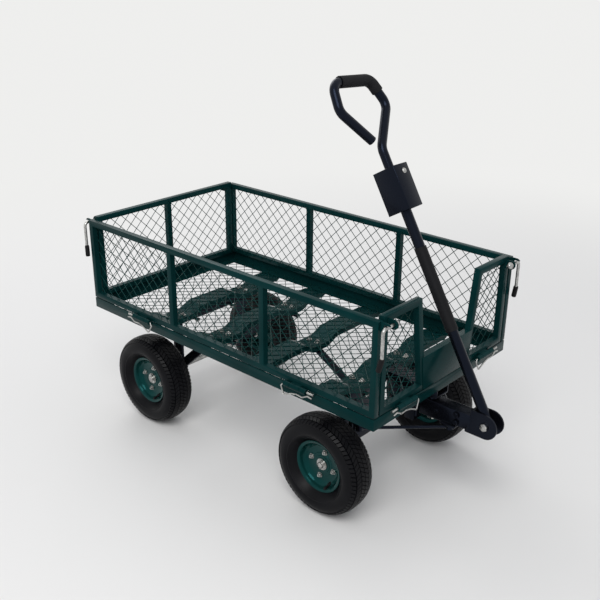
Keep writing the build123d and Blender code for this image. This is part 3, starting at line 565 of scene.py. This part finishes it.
# ------------------------------------------------------------------ rims, nuts, valves, axle ends
RIM_PROFILE = [
    # (radius, outward) from the hub's inner end round the barrel to the hub's outer face
    (0.0081, -0.0310), (0.0170, -0.0310), (0.0170, 0.0005), (0.0230, 0.0010), (0.0450, 0.0010),
    (0.0500, 0.0050), (0.0567, 0.0150), (0.0567, -0.0195), (0.0590, -0.0225), (0.0660, -0.0235),
    (0.0680, -0.0225), (0.0675, -0.0205), (0.0597, -0.0203), (0.0580, -0.0120), (0.0580, 0.0120),
    (0.0597, 0.0203), (0.0668, 0.0205), (0.0682, 0.0220), (0.0672, 0.0235), (0.0640, 0.0232),
    (0.0605, 0.0215), (0.0590, 0.0190), (0.0570, 0.0130), (0.0520, 0.0095), (0.0505, 0.0085),
    (0.0480, 0.0060), (0.0462, 0.0052), (0.0300, 0.0050), (0.0292, 0.0058), (0.0225, 0.0060),
    (0.0218, 0.0072), (0.0160, 0.0074), (0.0150, 0.0066), (0.0081, 0.0066), (0.0081, -0.0310),
]
NUT_RING = 0.035
NUT_SEAT = 0.005
NUT_TURNS = (-12, 78, 168, 258)
VALVE_RING = 0.0515
VALVE_SEAT = 0.009
VALVE_TURN = -59
VALVE_LEAN = 0.15
VALVE_PROFILE = [
    (0.0, -0.004), (0.0045, -0.004), (0.0045, 0.004), (0.0032, 0.006), (0.0030, 0.014),
    (0.0036, 0.0145), (0.0036, 0.021), (0.0028, 0.0222), (0.0, 0.0222),
]
HUB_FACE = HALF_TRACK + 0.0075
AXLE_WASHERS = [
    (0.0082, 0.0), (0.0150, 0.0), (0.0150, 0.0022), (0.0128, 0.0024), (0.0128, 0.0046),
    (0.0082, 0.0046), (0.0082, 0.0),
]
AXLE_TIP = [
    (0.0, 0.0094), (0.0040, 0.0093), (0.0066, 0.0088), (0.0083, 0.0070), (0.0083, 0.0002),
    (0.0, 0.0002),
]
SPLIT_PIN_OUT = 0.0058
SPLIT_PIN_HALF = Vector((0.0034, 0, 0.0112))
SPLIT_PIN_EYE = [
    (0.0, -0.0018), (0.0022, -0.0018), (0.0026, 0.0), (0.0022, 0.0018), (0.0, 0.0018),
]


def on_wheel(x, y, ring, turn):
    """Point on a ring round an axle, turned by degrees from straight ahead."""
    angle = math.radians(turn)
    return place(x + ring * math.cos(angle), y, AXLE_Z + ring * math.sin(angle))


def make_rim(corner, x, side):
    """Dished rim with its hub, four wheel nuts and a valve stem."""
    name = "dished_rim_" + corner
    y = side * HALF_TRACK
    out = Vector((0, side, 0))
    bm = bmesh.new()
    turned(bm, RIM_PROFILE, place(x, y, AXLE_Z), out, 72)
    stand_in(name, bm, RIM, "rim_" + corner, 32.0)

    bm = bmesh.new()
    for turn in NUT_TURNS:
        seat = on_wheel(x, y + side * NUT_SEAT, NUT_RING, turn)
        bar(bm, seat, seat + out * 0.0013, 0.0068, 20)
        hexagon(bm, seat + out * 0.0013, seat + out * 0.0058, 0.0056)
        bar(bm, seat + out * 0.0050, seat + out * 0.0088, 0.0030, 12, 0.0026)
    piece(name + "_nuts", bm, ZINC, "wheel_" + corner)

    bm = bmesh.new()
    angle = math.radians(VALVE_TURN)
    lean = Vector((VALVE_LEAN * math.cos(angle), side, VALVE_LEAN * math.sin(angle)))
    seat = on_wheel(x, y + side * VALVE_SEAT, VALVE_RING, VALVE_TURN)
    turned(bm, VALVE_PROFILE, seat, lean, 16)
    piece(name + "_valve", bm, DIPPED, "wheel_" + corner)


def axle_end(corner, body, x, side):
    """Stacked washers, the axle's tip and a split pin."""
    out = Vector((0, side, 0))
    hub = place(x, side * HUB_FACE, AXLE_Z)
    bm = bmesh.new()
    turned(bm, AXLE_WASHERS, hub, out, 40)
    turned(bm, AXLE_TIP, hub, out, 32)
    pin = hub + out * SPLIT_PIN_OUT
    bar(bm, pin + SPLIT_PIN_HALF, pin - SPLIT_PIN_HALF, 0.0012, 10)
    turned(bm, SPLIT_PIN_EYE, pin + Vector((0.0036, 0, 0.0118)), (0.3, 0, 1), 12)
    piece("axle_washers_" + corner, bm, ZINC, body)


for end, x in (("front", HALF_WHEELBASE), ("rear", -HALF_WHEELBASE)):
    for side, sign in (("left", 1), ("right", -1)):
        corner = end + "_" + side
        make_tyre(corner, x, sign * HALF_TRACK)
        make_rim(corner, x, sign)
        axle_end(corner, "knuckle_" + side if end == "front" else "chassis", x, sign)


# ------------------------------------------------------------------ bolts of the deck
UP = Vector((0, 0, 1))
WASHER = 0.0014
DECK_THREAD = 0.0036
DECK_BOLT_SHIFT = 0.015
DIP_TOP = 0.300
MEMBER_DIPS = (
    # (x of a cross member, y of each of its dips)
    (-0.312, (-0.127, 0.127)), (-0.122, (-0.127, 0.127)), (0.088, (0.0,)),
    (0.312, (-0.091, 0.091)),
)


def bolt_head(bm, base, direction, thread):
    """Hexagon head or nut that fits a thread of this radius."""
    hexagon(bm, base, base + direction * thread * 1.3, thread * 1.65)


def fastener(bm, face, direction, thread):
    """Washer and hexagon head on a face, standing along direction."""
    direction = Vector(direction)
    base = face + direction * WASHER
    bar(bm, face, base, thread * 2.1, 20)
    bolt_head(bm, base, direction, thread)


bm = bmesh.new()
for x, dips in MEMBER_DIPS:
    for dip in dips:
        for shift in (-DECK_BOLT_SHIFT, DECK_BOLT_SHIFT):
            face = place(x + shift, dip, DIP_TOP)
            bar(bm, face, face + UP * WASHER, 0.0085, 20)
            bolt_head(bm, face + UP * WASHER, UP, DECK_THREAD)
            bar(bm, face + UP * 0.004, face + UP * 0.0095, 0.0032, 10, 0.0028)
piece("deck_bolts", bm, ZINC, "chassis")


# ------------------------------------------------------------------ weld beads
SIDE_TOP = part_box("right_panel_frame")[1][2]
SIDE_POST = 0.164
SIDE_FACES = (0.2605, 0.2730)  # inner and outer face of a side panel's tubes
END_FACES = (0.4890, 0.5010)  # the same for an end panel
END_CORNER = 0.239
THIN_BEAD = 0.0016
THICK_BEAD = 0.0022


def bead(bm, start, end, radius):
    """Rippled weld bead between two points."""
    along = end - start
    ripples = max(4, round(along.length / (radius * 1.2)))
    profile = [(0.0, 0.0)]
    for step in range(ripples):
        low = along.length * (step + 0.15) / ripples
        high = along.length * (step + 0.65) / ripples
        profile += [(radius * 0.78, low), (radius, high)]
    turned(bm, profile + [(0.0, along.length)], start, along, 8)


def welds(name, ends, radius, material, body):
    """A piece of weld beads, each between a pair of points."""
    bm = bmesh.new()
    for start, end in ends:
        bead(bm, start, end, radius)
    piece(name, bm, material, body)


for side, sign in (("right", -1), ("left", 1)):
    ends = [
        [place(x, sign * y, z) for y in SIDE_FACES]
        for post in (-SIDE_POST, SIDE_POST)
        for x in (post - TUBE / 2, post + TUBE / 2)
        for z in (PANEL_LOW + TUBE, SIDE_TOP - TUBE)
    ]
    welds(side + "_side_welds", ends, THIN_BEAD, GREEN, side + "_panel")
for body, sign, middle_post in (("rear_panel", -1, (-TUBE / 2, TUBE / 2)), ("chassis", 1, ())):
    ends = [
        [place(sign * x, y, z) for x in END_FACES]
        for y in (*middle_post, -END_CORNER, END_CORNER)
        for z in (PANEL_LOW + TUBE, PANEL_HIGH - TUBE)
    ]
    welds(body + "_end_welds", ends, THIN_BEAD, GREEN, body)
ends = [
    [place(-HALF_WHEELBASE + x, sign * 0.127 + face, 0.2688) for x in (-0.012, 0.012)]
    for sign in (-1, 1)
    for face in (-0.0065, 0.0065)
]
welds("axle_frame_welds", ends, THICK_BEAD, BLACK, "chassis")


# ------------------------------------------------------------------ latch tips and caps
LATCH_TIP = [
    (0.0, -0.0030), (0.0046, -0.0030), (0.0058, -0.0010), (0.0062, 0.0020), (0.0062, 0.0262),
    (0.0056, 0.0278), (0.0036, 0.0288), (0.0, 0.0290),
]
LATCH_CAP = [
    (0.0, 0.0094), (0.0040, 0.0088), (0.0072, 0.0062), (0.0086, 0.0022), (0.0086, -0.0004),
    (0.0074, -0.0010), (0.0, -0.0010),
]
for end, sign in (("front", 1), ("rear", -1)):
    body = BODY_OF[end + "_latch_rods"]
    tips = bmesh.new()
    caps = bmesh.new()
    for side in (-1, 1):
        top = place(sign * 0.5174, side * 0.2770, 0.4935)
        foot = place(sign * 0.5127, side * 0.2798, 0.4690)
        turned(tips, LATCH_TIP, top, foot - top, 20)
        turned(caps, LATCH_CAP, place(sign * 0.5175, side * 0.2362, 0.562), (0, -side, 0), 24)
    piece(end + "_latch_tips", tips, DIPPED, body)
    piece(end + "_latch_caps", caps, ZINC, body)


# ------------------------------------------------------------------ bolts of handle and axles
HANDLE_LEAN = math.radians(30)
HANDLE_PIVOT = place(0.628, 0.0, 0.264)
BOX_BOLT = (0.614, 0.0319, 0.006)  # along the handle, in front of its middle line, to the left
DRAWBAR_BOLTS = (
    # (x, z, thread)
    (0.500, 0.258, 0.0034), (0.554, 0.268, 0.0042), (0.554, 0.248, 0.0042),
)
DRAWBAR_FACE = 0.0190
AXLE_FRAME_BOLTS = (
    # (x, y, z, 1 for up or -1 for down, thread)
    (0.306, 0.0865, 0.269, -1, 0.0042), (0.336, 0.0865, 0.269, -1, 0.0042),
    (-0.342, 0.0700, 0.269, -1, 0.0042), (-0.300, 0.0700, 0.269, -1, 0.0042),
    (HALF_WHEELBASE, 0.152, 0.1980, 1, 0.0048),
)


def dome(bm, base, direction, radius, height):
    """Round bolt head."""
    profile = [
        (0.0, 0.0), (0.92, 0.0), (1.0, 0.18), (0.90, 0.55), (0.62, 0.86), (0.30, 0.98), (0.0, 1.0)
    ]
    turned(bm, [(radius * r, height * h) for r, h in profile], base, direction, 20)


along, forward, left = BOX_BOLT
shaft = Vector((-math.sin(HANDLE_LEAN), 0, math.cos(HANDLE_LEAN)))
ahead = Vector((math.cos(HANDLE_LEAN), 0, math.sin(HANDLE_LEAN)))
bm = bmesh.new()
dome(
    bm, HANDLE_PIVOT + shaft * along + ahead * forward + Vector((0, left, 0)), ahead,
    0.0066, 0.0038,
)
piece("hitch_box_bolt", bm, ZINC, "handle")

bm = bmesh.new()
for side in (-1, 1):
    for x, z, thread in DRAWBAR_BOLTS:
        fastener(bm, place(x, side * DRAWBAR_FACE, z), (0, side, 0), thread)
piece("drawbar_bolts", bm, BLACK, "tongue")

bm = bmesh.new()
for side in (-1, 1):
    for x, y, z, upward, thread in AXLE_FRAME_BOLTS:
        fastener(bm, place(x, side * y, z), (0, 0, upward), thread)
piece("axle_frame_bolts", bm, ZINC, "chassis")


# ------------------------------------------------------------------ room, light and camera
PALE = rgb(0.86, 0.86, 0.85)
FADE_START, FADE_END = 1.1, 3.2  # where the floor starts and ends its turn into the backdrop

bpy.ops.mesh.primitive_plane_add(size=60.0, location=(0, 0, 0))
floor = bpy.context.object
floor.name = "floor"
ground = Finish("pale floor", Base_Color=rgb(0.80, 0.79, 0.77), Roughness=0.9)
away = ground.node(
    "ShaderNodeVectorMath", {"operation": "LENGTH"}, {0: ground.place}, out="Value"
)
fade = ground.ramp(away, FADE_START, FADE_END) * ground.seen()
lit = Val(ground, ground.shader.outputs[0])
glow = ground.node("ShaderNodeEmission", None, {"Color": PALE, "Strength": 1.0})
ground.feed(
    ground.output, {0: ground.node("ShaderNodeMixShader", None, {0: fade, 1: lit, 2: glow})}
)
floor.data.materials.append(ground.material)
floor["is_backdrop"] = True

world = bpy.data.worlds.new("soft sky")
bpy.context.scene.world = world
world.use_nodes = True
sky = Nodes(world.node_tree)
backdrop = sky.seen()
sky.feed(world.node_tree.nodes["Background"], {
    "Color": sky.mix(backdrop, rgb(0.93, 0.95, 1.0), PALE),
    "Strength": 0.62 + 0.38 * backdrop,
})

LIT_POINT = Vector((0, 0, 0.3))


def softbox(name, spot, size, power):
    """Round area light that shines at the middle of the part."""
    lamp = bpy.data.lights.new(name, "AREA")
    lamp.shape = "DISK"
    lamp.size = size
    lamp.energy = power
    shown = bpy.data.objects.new(name, lamp)
    bpy.context.collection.objects.link(shown)
    shown.location = spot
    shown.rotation_euler = (LIT_POINT - Vector(spot)).to_track_quat("-Z", "Y").to_euler()


softbox("key", (1.5, -2.5, 3.6), 2.6, 90.0)
softbox("fill", (-3.0, 1.0, 3.0), 3.0, 45.0)

EYE = place(1.452, -1.5668, 1.2963)
HEADING = math.radians(132.04)
PITCH = math.radians(-22.90)
ROLL = math.radians(0.44)

camera = bpy.data.cameras.new("camera")
camera.lens = 51.5
camera.sensor_width = 36.0
view = bpy.data.objects.new("camera", camera)
bpy.context.collection.objects.link(view)
look = Vector((
    math.cos(PITCH) * math.cos(HEADING), math.cos(PITCH) * math.sin(HEADING), math.sin(PITCH)
))
view.matrix_world = (
    Matrix.Translation(EYE) @ look.to_track_quat("-Z", "Y").to_matrix().to_4x4()
    @ Matrix.Rotation(ROLL, 4, "Z")
)
bpy.context.scene.camera = view
bpy.context.scene.view_settings.view_transform = "Standard"

low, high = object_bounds()
